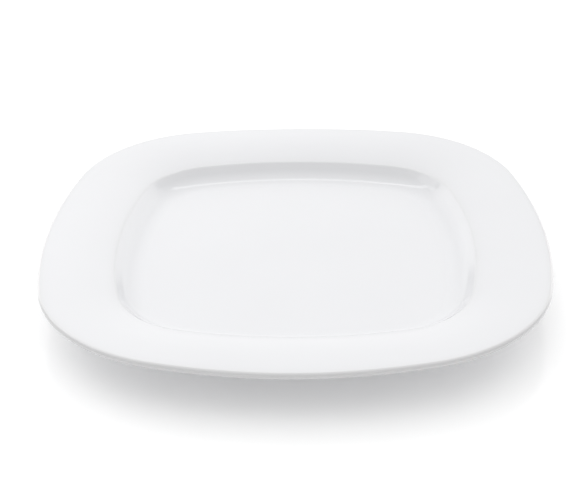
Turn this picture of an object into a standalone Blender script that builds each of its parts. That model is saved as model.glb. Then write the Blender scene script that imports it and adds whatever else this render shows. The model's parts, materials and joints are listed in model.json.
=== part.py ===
"""Square charger plate: a pressed porcelain body under a coat of glaze, standing on a bare foot ring."""

from math import acos, atan, atan2, ceil, copysign, cos, hypot, pi, radians, sin, sqrt

import bmesh
import bpy

# Outline seen from above
PLATE_SIDE = 0.310
SIDE_RADIUS = 0.333
WELL_CORNER_RADIUS = 0.0324

# Rim, from the lip of the well out to the rolled edge
RIM_RUN = 0.0414
RIM_RISE = 0.0062
RIM_CROWN = 0.0018
CORNER_LIFT = 0.0018
EDGE_THICKNESS = 0.0040

# Well, from the lip down to the flat floor
WELL_DEPTH = 0.0102
WALL_SLOPE = radians(45)
LIP_RADIUS = 0.0045
COVE_RADIUS = 0.0200

# Underside and foot ring
BASE_THICKNESS = 0.0055
WALL_THICKNESS = 0.0046
UNDER_LIP_RADIUS = 0.0080
FOOT_SETBACK = 0.0030
FOOT_HEIGHT = 0.0048
FOOT_SLOPE = radians(72)
FOOT_FILLET = 0.0012
STANDING_WIDTH = 0.0032

# Coat of glaze, the clearance under it, and the band of the foot wiped clean of it
GLAZE_THICKNESS = 0.0003
GLAZE_CLEARANCE = 0.0003
WIPED_BAND = 0.0007

# How far a facet may stand off the true arc, along the outline and along the cross-section
OUTLINE_ERROR = 0.00025
SECTION_ERROR = 0.00015
SHARP_EDGE = radians(35)

# Worked out from the sizes above
INWARDS = -pi
FLOOR_HEIGHT = FOOT_HEIGHT + BASE_THICKNESS
EDGE_RADIUS = EDGE_THICKNESS / 2
BODY_DEPTH = GLAZE_THICKNESS + GLAZE_CLEARANCE
RIM_CHORD = hypot(RIM_RUN, RIM_RISE)
RIM_PITCH = atan2(RIM_RISE, RIM_RUN)
RIM_BEND = 2 * atan(2 * RIM_CROWN / RIM_CHORD)
RIM_RADIUS = RIM_CHORD / (2 * sin(RIM_BEND))
LIP_SLOPE = RIM_PITCH + RIM_BEND
EDGE_SLOPE = RIM_PITCH - RIM_BEND
LIP_INSET = RIM_RUN + EDGE_RADIUS * (1 + sin(EDGE_SLOPE))


# A cross-section is a path of stations (outward, height, heading), walked with the material on its right

def straight(path, length):
    """Walk straight ahead."""
    outward, height, heading = path[-1]
    path.append((outward + length * cos(heading), height + length * sin(heading), heading))


def straight_to(path, height):
    """Walk straight ahead to a height."""
    path_height, heading = path[-1][1:]
    straight(path, (height - path_height) / sin(heading))


def arc_steps(radius, angle, error):
    """Number of straight facets that keep within an error of an arc."""
    return ceil(abs(angle) / (2 * acos(1 - error / radius)))


def bend(path, radius, angle):
    """Walk round an arc, to the left for a positive angle and to the right for a negative one."""
    outward, height, heading = path[-1]
    steps = arc_steps(radius, angle, SECTION_ERROR)
    side = copysign(radius, angle)
    centre_outward = outward - side * sin(heading)
    centre_height = height + side * cos(heading)
    for step in range(1, steps + 1):
        turned = heading + angle * step / steps
        path.append((centre_outward + side * sin(turned), centre_height - side * cos(turned), turned))


def sunk(path, depth):
    """The same path at a depth under the surface."""
    return [(outward + depth * sin(heading), height - depth * cos(heading), heading)
            for outward, height, heading in path]


def top_path():
    """From the edge of the well floor, up the wall, over the lip and the rim, to the outermost edge."""
    path = [(0.0, FLOOR_HEIGHT, 0.0)]
    cove_rise = COVE_RADIUS * (1 - cos(WALL_SLOPE))
    lip_rise = LIP_RADIUS * (cos(LIP_SLOPE) - cos(WALL_SLOPE))
    bend(path, COVE_RADIUS, WALL_SLOPE)
    straight(path, (WELL_DEPTH - cove_rise - lip_rise) / sin(WALL_SLOPE))
    bend(path, LIP_RADIUS, LIP_SLOPE - WALL_SLOPE)
    bend(path, RIM_RADIUS, EDGE_SLOPE - LIP_SLOPE)
    bend(path, EDGE_RADIUS, -EDGE_SLOPE - pi / 2)
    edge = path[-1][0]
    return [(outward - edge, height, heading) for outward, height, heading in path]


def underside_path(top):
    """From the outermost edge, in under the rim and down the back of the wall, to the base."""
    path = [top[-1]]
    bend(path, EDGE_RADIUS, RIM_PITCH - pi / 2)
    corner = WALL_SLOPE - RIM_PITCH
    wall_outward = top[0][0] + COVE_RADIUS * sin(WALL_SLOPE)
    wall_height = FLOOR_HEIGHT + COVE_RADIUS * (1 - cos(WALL_SLOPE))
    trial = path[-1:]
    bend(trial, UNDER_LIP_RADIUS, corner)
    away_outward = trial[-1][0] - wall_outward
    away_height = trial[-1][1] - wall_height
    behind_wall = away_outward * sin(WALL_SLOPE) - away_height * cos(WALL_SLOPE)
    straight(path, (behind_wall - WALL_THICKNESS) / sin(corner))
    bend(path, UNDER_LIP_RADIUS, corner)
    heel_radius = COVE_RADIUS + WALL_THICKNESS
    straight_to(path, FOOT_HEIGHT + heel_radius * (1 - cos(WALL_SLOPE)))
    bend(path, heel_radius, -WALL_SLOPE)
    return path


def foot_outer_path(underside, foot_end):
    """From the base, round the fillet and down the outer side of the foot ring to a height."""
    path = [underside[-1]]
    straight(path, FOOT_SETBACK)
    bend(path, FOOT_FILLET, FOOT_SLOPE)
    straight_to(path, foot_end)
    return path


def foot_inner_path(outer_toe, foot_end):
    """From a height on the inner side of the foot ring, up and round the fillet to the base."""
    inner_toe = (outer_toe - STANDING_WIDTH, 0.0, INWARDS - FOOT_SLOPE)
    path = sunk([inner_toe], -BODY_DEPTH)
    straight_to(path, foot_end)
    straight_to(path, FOOT_HEIGHT - FOOT_FILLET * (1 - cos(FOOT_SLOPE)))
    bend(path, FOOT_FILLET, FOOT_SLOPE)
    return path[1:]


def outline_arcs(floor_inset):
    """Arcs of the rim's edge seen from above, sampled as (centre x, centre y, radius, facing)."""
    corner_radius = WELL_CORNER_RADIUS + floor_inset
    side_centre = SIDE_RADIUS - PLATE_SIDE / 2
    reach = SIDE_RADIUS - corner_radius
    half_side = acos(side_centre / (reach * sqrt(2))) - pi / 4
    corner_turn = pi / 2 - 2 * half_side
    corner_centre = reach * sin(half_side) * sqrt(2)
    side_steps = 2 * arc_steps(SIDE_RADIUS, half_side, OUTLINE_ERROR)
    corner_steps = arc_steps(corner_radius, corner_turn, OUTLINE_ERROR)
    samples = []
    for quarter in range(4):
        middle = quarter * pi / 2
        diagonal = middle + pi / 4
        side_x = -side_centre * cos(middle)
        side_y = -side_centre * sin(middle)
        corner_x = corner_centre * cos(diagonal)
        corner_y = corner_centre * sin(diagonal)
        for step in range(side_steps):
            facing = middle + half_side * (2 * step / side_steps - 1)
            samples.append((side_x, side_y, SIDE_RADIUS, facing))
        for step in range(corner_steps):
            facing = middle + half_side + corner_turn * step / corner_steps
            samples.append((corner_x, corner_y, corner_radius, facing))
    return samples


def ring_points(arcs, station):
    """One station carried round the outline, with the rim lifted towards the corners."""
    outward, height, _ = station
    rim_share = max(0.0, 1 + outward / LIP_INSET)
    points = []
    for centre_x, centre_y, radius, facing in arcs:
        edge_angle = atan2(centre_y + radius * sin(facing), centre_x + radius * cos(facing))
        lift = CORNER_LIFT * (rim_share * sin(2 * edge_angle)) ** 2
        x = centre_x + (radius + outward) * cos(facing)
        y = centre_y + (radius + outward) * sin(facing)
        points.append((x, y, height + lift))
    return points


def swept_solid(name, material, path, arcs, root):
    """Carry a path round the outline, close its first and last rings and add it as a named object."""
    shape = bmesh.new()
    rings = [[shape.verts.new(point) for point in ring_points(arcs, station)] for station in path]
    for ring, next_ring in zip(rings, rings[1:]):
        for index in range(len(arcs)):
            before = index - 1
            shape.faces.new((ring[before], next_ring[before], next_ring[index], ring[index]))
    shape.faces.new(rings[0])
    shape.faces.new(reversed(rings[-1]))
    mesh = bpy.data.meshes.new(name)
    shape.to_mesh(mesh)
    shape.free()
    mesh.materials.append(material)
    mesh.shade_smooth()
    mesh.set_sharp_from_angle(angle=SHARP_EDGE)
    solid = bpy.data.objects.new(name, mesh)
    solid.parent = root
    bpy.context.scene.collection.objects.link(solid)


def finish(name, colour, roughness):
    """A plain material of one colour and roughness."""
    material = bpy.data.materials.new(name)
    material.use_nodes = True
    shader = material.node_tree.nodes["Principled BSDF"]
    shader.inputs["Base Color"].default_value = (*colour, 1.0)
    shader.inputs["Roughness"].default_value = roughness
    shader.inputs["Metallic"].default_value = 0.0
    return material


def build():
    """Make the three pieces of the plate."""
    for old in list(bpy.data.objects):
        bpy.data.objects.remove(old)
    root = bpy.data.objects.new("square_charger_plate", None)
    bpy.context.scene.collection.objects.link(root)

    top = top_path()
    underside = underside_path(top)
    surface = top + underside[1:]
    arcs = outline_arcs(floor_inset=-top[0][0])

    toe = -BODY_DEPTH * cos(FOOT_SLOPE)
    body_outer = sunk(surface + foot_outer_path(underside, toe)[1:], BODY_DEPTH)
    outer_toe = body_outer[-1][0]
    body_inner = sunk(foot_inner_path(outer_toe, toe), BODY_DEPTH)
    bare = finish("bare_porcelain", (0.86, 0.83, 0.77), 0.75)
    swept_solid("porcelain_body", bare, body_outer + body_inner, arcs, root)

    coat_outer = surface + foot_outer_path(underside, WIPED_BAND)[1:]
    coat_inner = foot_inner_path(outer_toe, WIPED_BAND)
    outer_back = sunk(coat_outer, GLAZE_THICKNESS)[::-1]
    inner_back = sunk(coat_inner, GLAZE_THICKNESS)[::-1]
    glaze = finish("white_glaze", (0.90, 0.91, 0.92), 0.12)
    swept_solid("outer_glaze", glaze, coat_outer + outer_back, arcs, root)
    swept_solid("base_glaze", glaze, inner_back + coat_inner, arcs, root)


build()
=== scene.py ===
"""Square charger plate: its white glaze and bare porcelain, and the studio that it is shown in.

The file is laid out as an add-on and is run as a script.
"""

import json
from math import acos, atan, atan2, ceil, copysign, cos, hypot, pi, radians, sin, sqrt

import bmesh
import bpy
from bpy.props import FloatProperty, FloatVectorProperty, PointerProperty
from bpy.types import NodeSocket, Operator, Panel, PropertyGroup
from mathutils import Matrix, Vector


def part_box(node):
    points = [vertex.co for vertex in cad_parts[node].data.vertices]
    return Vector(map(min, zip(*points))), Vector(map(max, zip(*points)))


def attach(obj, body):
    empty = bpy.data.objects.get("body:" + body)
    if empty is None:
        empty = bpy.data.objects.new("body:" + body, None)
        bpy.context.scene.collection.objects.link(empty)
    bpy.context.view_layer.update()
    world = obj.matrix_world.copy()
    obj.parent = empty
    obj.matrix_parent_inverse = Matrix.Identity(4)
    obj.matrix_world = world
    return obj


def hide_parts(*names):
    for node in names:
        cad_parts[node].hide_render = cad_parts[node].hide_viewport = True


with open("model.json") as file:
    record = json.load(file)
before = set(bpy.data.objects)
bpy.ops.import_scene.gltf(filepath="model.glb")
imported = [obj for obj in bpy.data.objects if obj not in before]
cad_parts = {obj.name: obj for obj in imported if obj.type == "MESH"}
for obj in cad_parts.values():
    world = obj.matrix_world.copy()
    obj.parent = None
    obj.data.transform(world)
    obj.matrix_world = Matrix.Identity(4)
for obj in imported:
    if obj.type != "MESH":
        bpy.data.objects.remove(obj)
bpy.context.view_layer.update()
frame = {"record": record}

bl_info = {
    "name": "Square Charger Plate",
    "version": (1, 0, 0),
    "blender": (4, 5, 0),
    "location": "3D View > Sidebar > Plate",
    "description": "Adds a glazed square charger plate and a small studio around it",
    "category": "Add Mesh",
}

# Sizes and colours that the frame gives
COAT_LOW, COAT_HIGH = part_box("outer_glaze")
MOUNT_HEIGHT = {mount["name"]: mount["pos_m"][2] for mount in frame["record"]["mounts"]}
SLOT_COLOUR = {material["slot"]: material["base_color"] for material in frame["record"]["materials"]}

# How far a facet may stand off the true arc, along the outline and along the cross-section
OUTLINE_ERROR = 0.000015
SECTION_ERROR = 0.000002

# Facets in a straight stretch, and rounds of smoothing where the glaze runs thin, with painted shade, or
# pools
STRAIGHT_STEPS = 6
FLOW_AND_SHADE_PASSES = 6

# Radius of a round edge that draws the glaze fully thin, with the most painted shade, and of a hollow that
# fills it fully
FLOW_AND_SHADE_RADIUS = 0.002

# Values of a cloudy pattern between which the glaze changes, the porcelain is rubbed and specks show
GLAZE_CLOUD = (0.3, 0.7)
RUBBED_CLOUD = (0.45, 0.75)
SPECK_CLOUD = (0.72, 0.78)

# Detail of a cloudy pattern, from none to much
SMOOTH = 0.0
SOFT = 2.0
GRAINY = 3.0
MOTTLED = 4.0

# Places of the colour sockets on a mix node
MIX_FIRST = 6
MIX_SECOND = 7
MIX_RESULT = 2

# How far towards the back a direction points where the low glow starts, and where it is full
BEHIND = (0.15, 0.45)

# Width of the camera's sensor in millimetres, and the share of its distance where its view starts
SENSOR_WIDTH = 36.0
VIEW_START = 0.01


def length_property(name, description, default):
    """A size in metres."""
    return FloatProperty(
        name=name, description=description, default=default, min=0.0, precision=5, unit="LENGTH"
    )


def angle_property(name, description, default):
    """An angle in radians, shown in degrees."""
    return FloatProperty(name=name, description=description, default=default, subtype="ANGLE")


def place_property(name, description, default):
    """A point in metres."""
    return FloatVectorProperty(
        name=name, description=description, default=default,
        precision=4, subtype="TRANSLATION", unit="LENGTH"
    )


def colour_property(name, description, default):
    """A linear colour."""
    return FloatVectorProperty(
        name=name, description=description, default=default, min=0.0, max=1.0, subtype="COLOR"
    )


def amount_property(name, description, default):
    """A plain number that can't be negative."""
    return FloatProperty(name=name, description=description, default=default, min=0.0, precision=4)


class PlateShape(PropertyGroup):
    """Sizes of the plate."""

    plate_side: length_property(
        "Plate side", "Width across the middles of two opposite sides", COAT_HIGH.x - COAT_LOW.x
    )
    side_radius: length_property("Side radius", "Radius of the bowed sides, seen from above", 0.333)
    well_corner_radius: length_property(
        "Well corner radius", "Radius of the corners of the well floor, seen from above", 0.0324
    )
    rim_run: length_property("Rim run", "Width of the rim from the lip of the well to the edge", 0.0414)
    rim_rise: length_property("Rim rise", "Rise of the rim from the lip to the edge", 0.0062)
    rim_crown: length_property("Rim crown", "Height of the rim's curve over a straight line", 0.0018)
    corner_lift: length_property("Corner lift", "Extra rise of the edge at the four corners", 0.0018)
    edge_thickness: length_property("Edge thickness", "Thickness of the rolled edge", 0.0040)
    floor_height: length_property(
        "Floor height", "Height of the well floor over the table", MOUNT_HEIGHT["well_floor"]
    )
    well_depth: length_property("Well depth", "Depth of the floor under the lip of the well", 0.0102)
    wall_slope: angle_property("Wall slope", "Slope of the well's wall", radians(45))
    wall_thickness: length_property("Wall thickness", "Thickness of the well's wall", 0.0046)
    lip_radius: length_property("Lip radius", "Radius of the lip between wall and rim", 0.0045)
    cove_radius: length_property("Cove radius", "Radius of the hollow between floor and wall", 0.0200)
    under_lip_radius: length_property("Under lip radius", "Radius under the lip of the well", 0.0080)
    foot_height: length_property("Foot height", "Height of the base over the table", 0.0048)
    foot_setback: length_property("Foot setback", "Flat base outside the foot ring", 0.0030)
    foot_slope: angle_property("Foot slope", "Slope of the foot ring's sides", radians(72))
    foot_fillet: length_property("Foot fillet", "Radius between the base and the foot ring", 0.0012)
    toe_radius: length_property("Toe radius", "Radius of the foot ring's lower edges", 0.0004)
    standing_width: length_property("Standing width", "Width of the flat that the plate stands on", 0.0032)
    glaze_thickness: length_property("Glaze thickness", "Thickness of the coat of glaze", 0.0003)
    glaze_clearance: length_property("Glaze clearance", "Gap between the glaze and the body", 0.00002)
    wiped_band: length_property("Wiped band", "Height of the foot left bare of glaze", COAT_LOW.z)


class PlateFinish(PropertyGroup):
    """Colours and surface detail of the glaze and the bare porcelain."""

    glaze_colour: colour_property("Glaze colour", "Glaze on the open faces", (0.776, 0.779, 0.795))
    # Thin glaze over round edges, made darker still as painted shade that stands in for the shading of the
    # rolled edge
    thin_glaze_edge_shade_colour: colour_property("Thin glaze", "Glaze drawn thin over round edges", (0.720, 0.719, 0.724))
    pooled_colour: colour_property("Pooled glaze", "Glaze gathered in hollows", (0.764, 0.774, 0.794))
    glaze_drift: amount_property("Glaze drift", "Share by which the glaze's tone drifts", 0.012)
    drift_width: length_property("Drift width", "Width of the drifts in the glaze's tone", 0.060)
    glaze_index: amount_property("Glaze index", "Refractive index of the glaze", 1.58)
    gloss: amount_property("Glaze gloss", "Roughness of the glaze where it is smoothest", 0.045)
    haze: amount_property("Glaze haze", "Roughness added where the glaze is least smooth", 0.030)
    haze_width: length_property("Haze width", "Width of the changes in the glaze's gloss", 0.012)
    ripple_width: length_property("Ripple width", "Width of the glaze's broad ripples", 0.030)
    ripple_height: length_property("Ripple height", "Height of the glaze's broad ripples", 0.000010)
    peel_width: length_property("Peel width", "Width of the fine dimples in the glaze", 0.0016)
    peel_height: length_property("Peel height", "Height of the fine dimples in the glaze", 0.0000008)
    bare_colour: colour_property("Bare colour", "Unglazed porcelain", SLOT_COLOUR["bare_porcelain"])
    rubbed_colour: colour_property("Rubbed colour", "Porcelain where it is rubbed", (0.70, 0.66, 0.59))
    rubbed_width: length_property("Rubbed width", "Width of the rubbed patches", 0.007)
    speck_colour: colour_property("Speck colour", "Fine specks in the porcelain", (0.36, 0.29, 0.22))
    speck_width: length_property("Speck width", "Spacing of the fine specks", 0.0012)
    bare_roughness: amount_property("Bare roughness", "Roughness of the bare porcelain", 0.68)
    rubbed_sheen: amount_property("Rubbed sheen", "Roughness taken off where it is rubbed", 0.20)
    grain_width: length_property("Grain width", "Width of the porcelain's grain", 0.0004)
    grain_height: length_property("Grain height", "Height of the porcelain's grain", 0.00002)


class PlateStudio(PropertyGroup):
    """Floor, lights and camera."""

    floor_colour: colour_property("Floor colour", "Pale glossy floor", (0.97, 0.97, 0.97))
    floor_roughness: amount_property("Floor roughness", "Roughness of the floor", 0.10)
    floor_glow: amount_property("Floor glow", "Light that comes up through the floor", 0.125)
    floor_width: length_property("Floor width", "Side of the square floor", 12.0)
    tent_colour: colour_property("Tent colour", "Light of the tent all round the plate", (1.0, 1.0, 1.0))
    tent_glow: amount_property("Tent glow", "Brightness of the tent all round", 0.565)
    bright_glow: amount_property("Bright glow", "Brightness that the tent's bright part adds", 0.69)
    bright_height: angle_property(
        "Bright height", "Height of the bright part's middle, at the back", radians(66)
    )
    bright_inner: angle_property(
        "Bright inner", "Angle from its middle where the bright part starts to fade", radians(25)
    )
    bright_outer: angle_property(
        "Bright outer", "Angle from its middle where the bright part has faded", radians(75)
    )
    backdrop_glow: amount_property("Backdrop glow", "Brightness that the low backdrop adds", 0.28)
    backdrop_height: angle_property("Backdrop height", "Height where the backdrop has faded", radians(22))
    wing_glow: amount_property("Wing glow", "Brightness that the tent's back corners add", 1.20)
    wing_inner: angle_property(
        "Wing inner", "Angle from the middle where the back corners start", radians(18)
    )
    wing_outer: angle_property(
        "Wing outer", "Angle from the middle where the back corners are brightest", radians(42)
    )
    wing_end: angle_property("Wing end", "Angle from the middle where the back corners end", radians(47))
    wing_full: angle_property("Wing full", "Height where the back corners start to fade", radians(30))
    wing_height: angle_property("Wing height", "Height where the back corners have faded", radians(50))
    strip_place: place_property(
        "Strip softbox", "Middle of the softbox over the back", (-0.075, 0.290, 0.50)
    )
    strip_width: length_property("Strip width", "Width of the softbox over the back", 0.55)
    strip_depth: length_property("Strip depth", "Depth of the softbox over the back", 0.07)
    strip_glow: amount_property("Strip glow", "Brightness of the softbox over the back", 1.90)
    side_place: place_property(
        "Side softbox", "Middle of the softbox over the left side", (-0.45, 0.10, 0.45)
    )
    side_width: length_property("Side width", "Width of the softbox over the left side", 0.30)
    side_depth: length_property("Side depth", "Depth of the softbox over the left side", 0.60)
    side_glow: amount_property("Side glow", "Brightness of the softbox over the left side", 0.70)
    aim: place_property("Aim", "Point at the middle of the picture", (-0.00227, 0.0, 0.01502))
    camera_distance: length_property("Camera distance", "Distance from the aim", 0.74056)
    camera_height: angle_property("Camera height", "Angle of the camera over the table", radians(29.4325))
    camera_turn: angle_property("Camera turn", "Angle of the camera round the plate", radians(1.0929))
    camera_roll: angle_property("Camera roll", "Tilt of the picture", radians(-0.7405))
    lens: FloatProperty(
        name="Lens", description="Focal length of the camera", default=72.63, min=1.0, unit="CAMERA"
    )


# A cross-section is a path of stations (outward, height, heading, curve), with the plate on its right

def walk(path, length):
    """Go straight ahead."""
    outward, height, heading, _ = path[-1]
    for step in range(1, STRAIGHT_STEPS + 1):
        gone = length * step / STRAIGHT_STEPS
        path.append((outward + gone * cos(heading), height + gone * sin(heading), heading, 0.0))


def walk_to(path, height):
    """Go straight ahead to a height."""
    walk(path, (height - path[-1][1]) / sin(path[-1][2]))


def arc_steps(radius, angle, error):
    """Number of straight facets that keep within an error of an arc."""
    return ceil(abs(angle) / (2 * acos(1 - error / radius)))


def bend(path, radius, angle):
    """Go round an arc, to the left for a positive angle and to the right for a negative one."""
    outward, height, heading, _ = path[-1]
    steps = arc_steps(radius, angle, SECTION_ERROR)
    side = copysign(radius, angle)
    centre_outward = outward - side * sin(heading)
    centre_height = height + side * cos(heading)
    for step in range(1, steps + 1):
        turned = heading + angle * step / steps
        outward = centre_outward + side * sin(turned)
        height = centre_height - side * cos(turned)
        path.append((outward, height, turned, 1 / side))


def sunk(path, depth):
    """The same path at a depth under the surface."""
    return [(outward + depth * sin(heading), height - depth * cos(heading), heading, curve)
            for outward, height, heading, curve in path]


def rim_slopes(shape):
    """Slope of the rim along its chord, and how far it bends either way from that."""
    pitch = atan2(shape.rim_rise, shape.rim_run)
    half_bend = 2 * atan(2 * shape.rim_crown / hypot(shape.rim_run, shape.rim_rise))
    return pitch, half_bend


def top_path(shape):
    """From the edge of the well floor, up the wall, over the lip and the rim, to the outermost edge."""
    pitch, half_bend = rim_slopes(shape)
    lip_slope = pitch + half_bend
    edge_slope = pitch - half_bend
    rim_radius = hypot(shape.rim_run, shape.rim_rise) / (2 * sin(half_bend))
    cove_rise = shape.cove_radius * (1 - cos(shape.wall_slope))
    lip_rise = shape.lip_radius * (cos(lip_slope) - cos(shape.wall_slope))
    path = [(0.0, shape.floor_height, 0.0, 0.0)]
    bend(path, shape.cove_radius, shape.wall_slope)
    walk(path, (shape.well_depth - cove_rise - lip_rise) / sin(shape.wall_slope))
    bend(path, shape.lip_radius, lip_slope - shape.wall_slope)
    bend(path, rim_radius, edge_slope - lip_slope)
    bend(path, shape.edge_thickness / 2, -edge_slope - pi / 2)
    edge = path[-1][0]
    return [(outward - edge, *rest) for outward, *rest in path]


def underside_path(shape, top):
    """From the outermost edge, in under the rim and down the back of the wall, to the base."""
    pitch, _ = rim_slopes(shape)
    corner = shape.wall_slope - pitch
    heel_radius = shape.cove_radius + shape.wall_thickness
    path = [top[-1]]
    bend(path, shape.edge_thickness / 2, pitch - pi / 2)
    trial = path[-1:]
    bend(trial, shape.under_lip_radius, corner)
    away_outward = trial[-1][0] - top[0][0] - shape.cove_radius * sin(shape.wall_slope)
    away_height = trial[-1][1] - top[0][1] - shape.cove_radius * (1 - cos(shape.wall_slope))
    behind_wall = away_outward * sin(shape.wall_slope) - away_height * cos(shape.wall_slope)
    walk(path, (behind_wall - shape.wall_thickness) / sin(corner))
    bend(path, shape.under_lip_radius, corner)
    walk_to(path, shape.foot_height + heel_radius * (1 - cos(shape.wall_slope)))
    bend(path, heel_radius, -shape.wall_slope)
    return path


def wiped_end(shape):
    """Height at which the face of the glaze ends, over the rounded end that it gets."""
    return shape.wiped_band + shape.glaze_thickness / 2


def body_depth(shape):
    """Depth of the porcelain body under the face of the glaze."""
    return shape.glaze_thickness + shape.glaze_clearance


def outer_path(shape):
    """Face of the outer glaze: top, underside and the outer side of the foot ring."""
    top = top_path(shape)
    path = top + underside_path(shape, top)[1:]
    walk(path, shape.foot_setback)
    bend(path, shape.foot_fillet, shape.foot_slope)
    walk_to(path, wiped_end(shape))
    return path


def toe_path(shape):
    """The bare foot: down from its outer side, across the standing face and up to its inner side."""
    path = sunk(outer_path(shape)[-1:], body_depth(shape))
    walk_to(path, shape.toe_radius * (1 - cos(shape.foot_slope)))
    bend(path, shape.toe_radius, -shape.foot_slope)
    walk(path, shape.standing_width)
    bend(path, shape.toe_radius, -shape.foot_slope)
    return path


def inner_path(shape):
    """Face of the base glaze: from the wiped line on the inner side of the foot ring to the base."""
    run_up = sunk(toe_path(shape)[-1:], -body_depth(shape))
    walk_to(run_up, wiped_end(shape))
    path = run_up[-1:]
    walk_to(path, shape.foot_height - shape.foot_fillet * (1 - cos(shape.foot_slope)))
    bend(path, shape.foot_fillet, shape.foot_slope)
    return path


def body_section(shape):
    """Section of the porcelain body, from the well floor round to the base."""
    depth = body_depth(shape)
    return sunk(outer_path(shape), depth) + toe_path(shape)[1:] + sunk(inner_path(shape), depth)


def outer_glaze_section(shape):
    """Section of the outer glaze: its face, a rounded end at the wiped line, and its back."""
    face = outer_path(shape)
    end = face[-1:]
    bend(end, shape.glaze_thickness / 2, -pi)
    return face + end[1:-1] + sunk(face, shape.glaze_thickness)[::-1]


def base_glaze_section(shape):
    """Section of the base glaze: its back, a rounded end at the wiped line, and its face."""
    face = inner_path(shape)
    back = sunk(face, shape.glaze_thickness)
    outward, height, heading, curve = back[0]
    end = [(outward, height, heading + pi, curve)]
    bend(end, shape.glaze_thickness / 2, -pi)
    return back[::-1] + end[1:-1] + face


def arc_samples(centre_distance, centre_angle, radius, start, turn, steps):
    """Points of an arc seen from above, without its last, as (centre x, centre y, radius, facing)."""
    centre_x = centre_distance * cos(centre_angle)
    centre_y = centre_distance * sin(centre_angle)
    return [(centre_x, centre_y, radius, start + turn * step / steps) for step in range(steps)]


def outline(shape):
    """The edge of the plate seen from above, in arcs from one corner's middle right round."""
    corner_radius = shape.well_corner_radius - top_path(shape)[0][0]
    side_centre = shape.side_radius - shape.plate_side / 2
    reach = shape.side_radius - corner_radius
    half_side = acos(side_centre / (reach * sqrt(2))) - pi / 4
    half_corner = pi / 4 - half_side
    corner_centre = reach * sin(half_side) * sqrt(2)
    side_steps = arc_steps(shape.side_radius, 2 * half_side, OUTLINE_ERROR)
    corner_steps = arc_steps(corner_radius, half_corner, OUTLINE_ERROR)
    samples = []
    for quarter in range(4):
        middle = quarter * pi / 2
        before = middle - pi / 4
        after = middle + pi / 4
        start = middle - half_side
        end = middle + half_side
        samples += arc_samples(corner_centre, before, corner_radius, before, half_corner, corner_steps)
        samples += arc_samples(-side_centre, middle, shape.side_radius, start, 2 * half_side, side_steps)
        samples += arc_samples(corner_centre, after, corner_radius, end, half_corner, corner_steps)
    return samples


def ring_points(shape, arcs, station, lip_inset):
    """One station carried round the outline, with the rim lifted towards the corners."""
    outward, height = station[:2]
    rim_share = max(0.0, 1 + outward / lip_inset)
    points = []
    for centre_x, centre_y, radius, facing in arcs:
        edge_angle = atan2(centre_y + radius * sin(facing), centre_x + radius * cos(facing))
        lift = shape.corner_lift * (rim_share * sin(2 * edge_angle)) ** 2
        x = centre_x + (radius + outward) * cos(facing)
        y = centre_y + (radius + outward) * sin(facing)
        points.append((x, y, height + lift))
    return points


def glaze_flow_and_edge_shade(path):
    """At each station, how far the glaze draws off a round edge, with painted shade there, to -1, or
    gathers in a hollow, to 1.
    """
    flow_and_shade = [max(-1.0, min(1.0, FLOW_AND_SHADE_RADIUS * curve)) for _, _, _, curve in path]
    for _ in range(FLOW_AND_SHADE_PASSES):
        before = flow_and_shade[:1] + flow_and_shade[:-1]
        after = flow_and_shade[1:] + flow_and_shade[-1:]
        flow_and_shade = [(low + 2 * middle + high) / 4 for low, middle, high in zip(before, flow_and_shade, after)]
    return flow_and_shade


def fill_ring(shell, ring):
    """Close a flat ring with a grid of faces between two opposite quarters of it."""
    quarter = len(ring) // 4
    edges = [shell.edges.get((ring[index - 1], ring[index])) for index in range(len(ring))]
    bmesh.ops.grid_fill(
        shell, edges=edges[1:quarter + 1] + edges[2 * quarter + 1:3 * quarter + 1], use_interp_simple=True
    )


def add_rings(shell, shape, path, arcs):
    """Add a ring of points for each station of a section, with the flow of the glaze and the painted edge
    shade there.
    """
    pitch, half_bend = rim_slopes(shape)
    lip_inset = shape.rim_run + shape.edge_thickness / 2 * (1 + sin(pitch - half_bend))
    flow_and_shade_layer = shell.verts.layers.float.new("glaze_flow_and_edge_shade")
    rings = []
    for station, flow_and_shade in zip(path, glaze_flow_and_edge_shade(path)):
        ring = [shell.verts.new(point) for point in ring_points(shape, arcs, station, lip_inset)]
        for vertex in ring:
            vertex[flow_and_shade_layer] = flow_and_shade
        rings.append(ring)
    return rings


def swept_mesh(name, shape, path):
    """Carry a section round the outline and close its first and last rings."""
    arcs = outline(shape)
    shell = bmesh.new()
    rings = add_rings(shell, shape, path, arcs)
    for ring, next_ring in zip(rings, rings[1:]):
        for index in range(len(arcs)):
            shell.faces.new((ring[index - 1], next_ring[index - 1], next_ring[index], ring[index]))
    fill_ring(shell, rings[0])
    fill_ring(shell, rings[-1])
    bmesh.ops.recalc_face_normals(shell, faces=shell.faces)
    if not all(edge.is_manifold for edge in shell.edges):
        raise RuntimeError(f"{name} isn't closed")
    mesh = bpy.data.meshes.new(name)
    shell.to_mesh(mesh)
    shell.free()
    mesh.shade_smooth()
    return mesh


def add_piece(name, node, shape, path, material):
    """Add one piece of the plate in place of its node of the frame."""
    if name in bpy.data.objects:
        raise RuntimeError(f"{name} is already in the scene")
    mesh = swept_mesh(name, shape, path)
    mesh.materials.append(material)
    piece = bpy.data.objects.new(name, mesh)
    bpy.context.scene.collection.objects.link(piece)
    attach(piece, "root")
    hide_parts(node)


def add_node(tree, kind, inputs, **settings):
    """Add a shader node with its settings, and with values or links for its inputs."""
    node = tree.nodes.new(kind)
    for name, value in settings.items():
        setattr(node, name, value)
    for name, value in inputs.items():
        if isinstance(value, NodeSocket):
            tree.links.new(value, node.inputs[name])
        else:
            node.inputs[name].default_value = value
    return node


def noise(tree, place, width, detail=SOFT):
    """A cloudy pattern whose patches are about a width across."""
    node = add_node(tree, "ShaderNodeTexNoise", {"Vector": place, "Scale": 1 / width, "Detail": detail})
    return node.outputs["Fac"]


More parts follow.
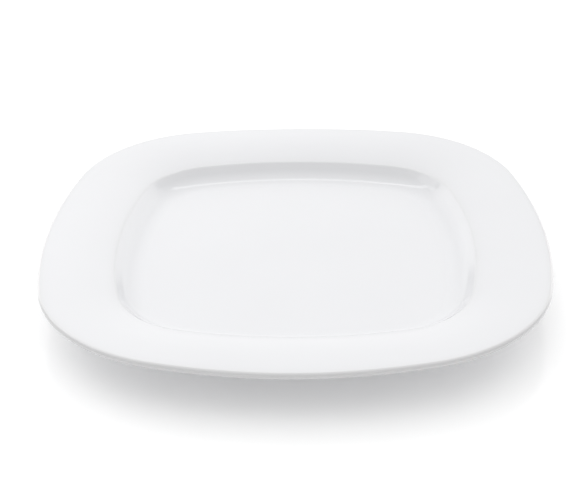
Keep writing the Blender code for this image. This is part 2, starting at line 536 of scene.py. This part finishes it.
def spread(tree, value, low, high, to_low, to_high):
    """Turn a range of values into another."""
    inputs = {"Value": value, "From Min": low, "From Max": high, "To Min": to_low, "To Max": to_high}
    return add_node(tree, "ShaderNodeMapRange", inputs).outputs["Result"]


def colour_ramp(tree, value, stops):
    """Turn a value from 0 to 1 into a colour between stops of (value, colour)."""
    node = add_node(tree, "ShaderNodeValToRGB", {"Fac": value})
    elements = node.color_ramp.elements
    while len(elements) < len(stops):
        elements.new(1.0)
    for element, (position, colour) in zip(elements, stops):
        element.position = position
        element.color = (*colour, 1.0)
    return node.outputs["Color"]


def bump(tree, pattern, height, under=None):
    """Raise the surface by a pattern, over another bump if there is one."""
    inputs = {"Height": pattern, "Distance": height}
    if under:
        inputs["Normal"] = under
    return add_node(tree, "ShaderNodeBump", inputs).outputs["Normal"]


def new_material(name):
    """A material with a plain shader, with its node tree and the place on the piece."""
    material = bpy.data.materials.new(name)
    material.use_nodes = True
    tree = material.node_tree
    place = add_node(tree, "ShaderNodeTexCoord", {}).outputs["Object"]
    return material, tree, tree.nodes["Principled BSDF"], place


def white_glaze(finish):
    """Glossy white glaze, thin and darkened with painted shade over round edges, pooled in hollows, with
    faint ripples and dimples.
    """
    name = "fired_white_glaze"
    if name in bpy.data.materials:
        return bpy.data.materials[name]
    material, tree, shader, place = new_material(name)
    flow_and_shade = add_node(tree, "ShaderNodeAttribute", {}, attribute_name="glaze_flow_and_edge_shade").outputs["Fac"]
    # Round edges take the thin glaze colour, made darker as painted shade; hollows take the pooled colour
    stops = [(0.0, finish.thin_glaze_edge_shade_colour), (0.5, finish.glaze_colour), (1.0, finish.pooled_colour)]
    tint = colour_ramp(tree, spread(tree, flow_and_shade, -1.0, 1.0, 0.0, 1.0), stops)
    drifts = noise(tree, place, finish.drift_width)
    tone = spread(tree, drifts, *GLAZE_CLOUD, 1 - finish.glaze_drift, 1.0)
    toned = add_node(tree, "ShaderNodeVectorMath", {"Vector": tint, "Scale": tone}, operation="SCALE")
    haze = noise(tree, place, finish.haze_width, detail=MOTTLED)
    ripples = bump(tree, noise(tree, place, finish.ripple_width), finish.ripple_height)
    dimples = bump(tree, noise(tree, place, finish.peel_width), finish.peel_height, under=ripples)
    roughness = spread(tree, haze, *GLAZE_CLOUD, finish.gloss, finish.gloss + finish.haze)
    tree.links.new(toned.outputs["Vector"], shader.inputs["Base Color"])
    tree.links.new(roughness, shader.inputs["Roughness"])
    tree.links.new(dimples, shader.inputs["Normal"])
    shader.inputs["IOR"].default_value = finish.glaze_index
    return material


def bare_porcelain(finish):
    """Matt unglazed porcelain with a fine grain, rubbed patches and a few specks."""
    material, tree, shader, place = new_material("bare_fired_porcelain")
    rubbing = noise(tree, place, finish.rubbed_width, detail=MOTTLED)
    stops = list(zip(RUBBED_CLOUD, (finish.bare_colour, finish.rubbed_colour)))
    patches = colour_ramp(tree, rubbing, stops)
    dots = noise(tree, place, finish.speck_width, detail=SMOOTH)
    specks = spread(tree, dots, *SPECK_CLOUD, 0.0, 1.0)
    inputs = {"Factor": specks, MIX_FIRST: patches, MIX_SECOND: (*finish.speck_colour, 1.0)}
    speckled = add_node(tree, "ShaderNodeMix", inputs, data_type="RGBA")
    grain = noise(tree, place, finish.grain_width, detail=GRAINY)
    rubbed_roughness = finish.bare_roughness - finish.rubbed_sheen
    roughness = spread(tree, rubbing, *RUBBED_CLOUD, finish.bare_roughness, rubbed_roughness)
    tree.links.new(speckled.outputs[MIX_RESULT], shader.inputs["Base Color"])
    tree.links.new(roughness, shader.inputs["Roughness"])
    tree.links.new(bump(tree, grain, finish.grain_height), shader.inputs["Normal"])
    return material


def add_floor(studio):
    """Add the pale floor that the plate stands on."""
    half = studio.floor_width / 2
    corners = [(-half, -half, 0.0), (half, -half, 0.0), (half, half, 0.0), (-half, half, 0.0)]
    mesh = bpy.data.meshes.new("studio_floor")
    mesh.from_pydata(corners, [], [(0, 1, 2, 3)])
    material = bpy.data.materials.new("pale_floor")
    material.use_nodes = True
    shader = material.node_tree.nodes["Principled BSDF"]
    shader.inputs["Base Color"].default_value = (*studio.floor_colour, 1.0)
    shader.inputs["Roughness"].default_value = studio.floor_roughness
    shader.inputs["Emission Color"].default_value = (*studio.floor_colour, 1.0)
    shader.inputs["Emission Strength"].default_value = studio.floor_glow
    mesh.materials.append(material)
    floor = bpy.data.objects.new("studio_floor", mesh)
    bpy.context.scene.collection.objects.link(floor)


def add_softbox(name, place, width, depth, glow):
    """Add a softbox overhead, facing down, with an even brightness."""
    lamp = bpy.data.lights.new(name, "AREA")
    lamp.shape = "RECTANGLE"
    lamp.size = width
    lamp.size_y = depth
    lamp.energy = glow * pi * width * depth
    softbox = bpy.data.objects.new(name, lamp)
    softbox.location = place
    softbox.visible_camera = False
    bpy.context.scene.collection.objects.link(softbox)


def add_softboxes(studio):
    """Add a strip over the back of the plate, and a softbox over its left side."""
    strip = (studio.strip_place, studio.strip_width, studio.strip_depth, studio.strip_glow)
    side = (studio.side_place, studio.side_width, studio.side_depth, studio.side_glow)
    add_softbox("strip_softbox", *strip)
    add_softbox("side_softbox", *side)


def maths(tree, operation, *values):
    """The result of a sum on values or links."""
    return add_node(tree, "ShaderNodeMath", dict(enumerate(values)), operation=operation).outputs["Value"]


def upper_glow(tree, towards, studio):
    """Brightness of the tent all round, rising to its bright part above the back."""
    middle = (0.0, cos(studio.bright_height), sin(studio.bright_height))
    product = add_node(tree, "ShaderNodeVectorMath", {0: towards, 1: middle}, operation="DOT_PRODUCT")
    faded, full = cos(studio.bright_outer), cos(studio.bright_inner)
    brightest = studio.tent_glow + studio.bright_glow
    return spread(tree, product.outputs["Value"], faded, full, studio.tent_glow, brightest)


def lower_glow(tree, towards, studio):
    """Brightness that the low backdrop and the back corners add."""
    axes = add_node(tree, "ShaderNodeSeparateXYZ", {"Vector": towards}).outputs
    backdrop = spread(tree, axes["Z"], 0.0, sin(studio.backdrop_height), studio.backdrop_glow, 0.0)
    across = maths(tree, "ABSOLUTE", axes["X"])
    wings = spread(tree, across, sin(studio.wing_inner), sin(studio.wing_outer), 0.0, studio.wing_glow)
    within = maths(tree, "LESS_THAN", across, sin(studio.wing_end))
    fade = spread(tree, axes["Z"], sin(studio.wing_full), sin(studio.wing_height), 1.0, 0.0)
    behind = spread(tree, axes["Y"], *BEHIND, 0.0, 1.0)
    cut_wings = maths(tree, "MULTIPLY", wings, within)
    return maths(tree, "MULTIPLY", behind, maths(tree, "MULTIPLY_ADD", cut_wings, fade, backdrop))


def add_tent(studio):
    """Light the plate from all round, and most from above and behind."""
    world = bpy.data.worlds.new("light_tent")
    world.use_nodes = True
    tree = world.node_tree
    towards = add_node(tree, "ShaderNodeTexCoord", {}).outputs["Generated"]
    glow = maths(tree, "ADD", upper_glow(tree, towards, studio), lower_glow(tree, towards, studio))
    background = tree.nodes["Background"]
    background.inputs["Color"].default_value = (*studio.tent_colour, 1.0)
    tree.links.new(glow, background.inputs["Strength"])
    bpy.context.scene.world = world


def add_camera(studio):
    """Add the camera, at its distance and angles from the aim."""
    lens = bpy.data.cameras.new("studio_camera")
    lens.sensor_width = SENSOR_WIDTH
    lens.lens = studio.lens
    lens.clip_start = studio.camera_distance * VIEW_START
    camera = bpy.data.objects.new("studio_camera", lens)
    turn = Matrix.Rotation(studio.camera_turn, 4, "Z")
    tilt = Matrix.Rotation(pi / 2 - studio.camera_height, 4, "X")
    roll = Matrix.Rotation(studio.camera_roll, 4, "Z")
    back = Matrix.Translation((0.0, 0.0, studio.camera_distance))
    camera.matrix_world = turn @ Matrix.Translation(studio.aim) @ tilt @ roll @ back
    bpy.context.scene.collection.objects.link(camera)
    bpy.context.scene.camera = camera


class PLATE_OT_porcelain_body(Operator):
    """Add the fired porcelain body with its bare foot ring"""

    bl_idname = "plate.porcelain_body"
    bl_label = "Porcelain Body"

    def execute(self, context):
        shape = context.scene.plate_shape
        section = body_section(shape)
        material = bare_porcelain(context.scene.plate_finish)
        add_piece("porcelain_plate_body", "porcelain_body", shape, section, material)
        return {"FINISHED"}


class PLATE_OT_outer_glaze(Operator):
    """Add the coat of glaze over the top, the edge and the underside"""

    bl_idname = "plate.outer_glaze"
    bl_label = "Outer Glaze"

    def execute(self, context):
        shape = context.scene.plate_shape
        section = outer_glaze_section(shape)
        material = white_glaze(context.scene.plate_finish)
        add_piece("outer_glaze_coat", "outer_glaze", shape, section, material)
        return {"FINISHED"}


class PLATE_OT_base_glaze(Operator):
    """Add the coat of glaze inside the foot ring"""

    bl_idname = "plate.base_glaze"
    bl_label = "Base Glaze"

    def execute(self, context):
        shape = context.scene.plate_shape
        section = base_glaze_section(shape)
        material = white_glaze(context.scene.plate_finish)
        add_piece("base_glaze_coat", "base_glaze", shape, section, material)
        return {"FINISHED"}


class PLATE_OT_stage(Operator):
    """Add the floor, the soft lights and the camera"""

    bl_idname = "plate.stage"
    bl_label = "Stage"

    def execute(self, context):
        studio = context.scene.plate_studio
        add_floor(studio)
        add_softboxes(studio)
        add_tent(studio)
        add_camera(studio)
        context.scene.view_settings.view_transform = "Standard"
        return {"FINISHED"}


class PLATE_PT_sidebar(Panel):
    """Lists the pieces, the stage and what can be changed on them"""

    bl_idname = "PLATE_PT_sidebar"
    bl_label = "Square Charger Plate"
    bl_space_type = "VIEW_3D"
    bl_region_type = "UI"
    bl_category = "Plate"

    def draw(self, context):
        scene = context.scene
        for operator in OPERATORS:
            self.layout.operator(operator.bl_idname)
        for settings in (scene.plate_shape, scene.plate_finish, scene.plate_studio):
            box = self.layout.box()
            for name in settings.__annotations__:
                box.prop(settings, name)


GROUPS = (PlateShape, PlateFinish, PlateStudio)
OPERATORS = (PLATE_OT_porcelain_body, PLATE_OT_outer_glaze, PLATE_OT_base_glaze, PLATE_OT_stage)
CLASSES = (*GROUPS, *OPERATORS, PLATE_PT_sidebar)


def register():
    """Register the classes and hang the settings on the scene."""
    for cls in CLASSES:
        bpy.utils.register_class(cls)
    bpy.types.Scene.plate_shape = PointerProperty(type=PlateShape)
    bpy.types.Scene.plate_finish = PointerProperty(type=PlateFinish)
    bpy.types.Scene.plate_studio = PointerProperty(type=PlateStudio)


def unregister():
    """Take the settings off the scene and unregister the classes."""
    del bpy.types.Scene.plate_studio
    del bpy.types.Scene.plate_finish
    del bpy.types.Scene.plate_shape
    for cls in reversed(CLASSES):
        bpy.utils.unregister_class(cls)


def main():
    """Add the plate and its stage."""
    register()
    bpy.ops.plate.porcelain_body()
    bpy.ops.plate.outer_glaze()
    bpy.ops.plate.base_glaze()
    bpy.ops.plate.stage()


if __name__ == "__main__":
    main()
